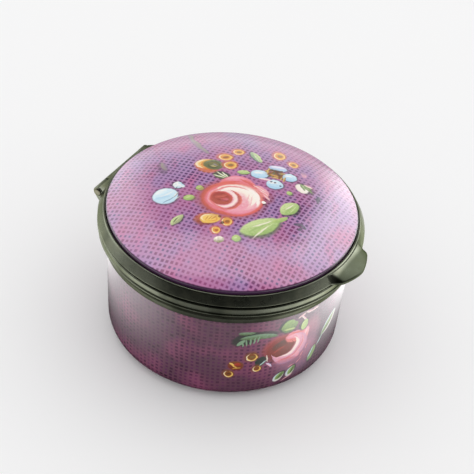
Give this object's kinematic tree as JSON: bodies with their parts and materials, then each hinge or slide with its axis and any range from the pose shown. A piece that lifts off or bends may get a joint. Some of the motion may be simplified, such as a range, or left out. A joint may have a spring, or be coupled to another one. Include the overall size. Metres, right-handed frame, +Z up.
{
  "type": "enamel patch box",
  "caption": "Round enamelled box with a shallow domed lid on a pin hinge, banded metal rims and a thumbpiece, painted with flowers on a dotted purple ground.",
  "frame": {"origin": "centre of the flat underside, on the axis of the round body", "axes": "+Z up through the lid, -Y towards the thumbpiece, +Y towards the hinge, X along the hinge pin"},
  "size_m": [0.05, 0.053, 0.0324],
  "materials": {
    "enamel": "glossy fired enamel, painted, white inside",
    "mount_metal": "old gilt copper, olive patina",
    "pin_metal": "dull drawn wire"
  },
  "bodies": {
    "base": {"body": "enamel", "base_mount": "mount_metal", "hinge_pin": "pin_metal"},
    "lid": {"lid_dome": "enamel", "lid_mount": "mount_metal"}
  },
  "joints": [
    {"name": "lid_hinge", "type": "hinge", "parent": "base", "child": "lid", "pos_m": [0, 0.0245, 0.0257], "axis": [-1, 0, 0], "range_deg": [0, 105]}
  ]
}
